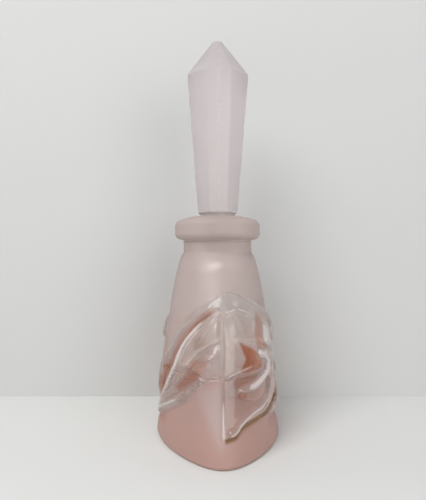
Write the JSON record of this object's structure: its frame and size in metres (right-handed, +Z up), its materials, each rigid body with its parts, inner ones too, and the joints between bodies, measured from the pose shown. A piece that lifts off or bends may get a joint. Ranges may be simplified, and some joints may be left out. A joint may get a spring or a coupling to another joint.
{
  "type": "perfume bottle",
  "caption": "Oval flared frosted pink glass perfume bottle with moulded petals and leaves, a round flanged lip and a tall faceted glass stopper in a soft sealing sleeve.",
  "frame": {"origin": "middle of the base, on the surface that the bottle stands on", "axes": "+Z up the bottle to the stopper's tip; the long axis of the oval body lies along Y, its short axis along X, and the mould seams run up the ends at -Y and +Y"},
  "size_m": [0.0566, 0.0962, 0.18],
  "materials": {
    "pink_satin_glass": "acid-frosted satin, with a polished clear flower and leaves",
    "sleeve_plastic": "milky and translucent, smooth",
    "pale_satin_glass": "acid-frosted satin, with a moulded seam line"
  },
  "bodies": {
    "bottle": {"bottle_body": "pink_satin_glass"},
    "sleeve": {"stopper_sleeve": "sleeve_plastic"},
    "stopper": {"stopper": "pale_satin_glass"}
  },
  "joints": [
    {"name": "stopper_lift", "type": "slide", "parent": "bottle", "child": "sleeve", "axis": [0, 0, 1], "range_m": [0, 0.045]},
    {"name": "stopper_twist", "type": "hinge", "parent": "sleeve", "child": "stopper", "pos_m": [0, 0, 0.0984], "axis": [0, 0, 1], "continuous": true}
  ]
}
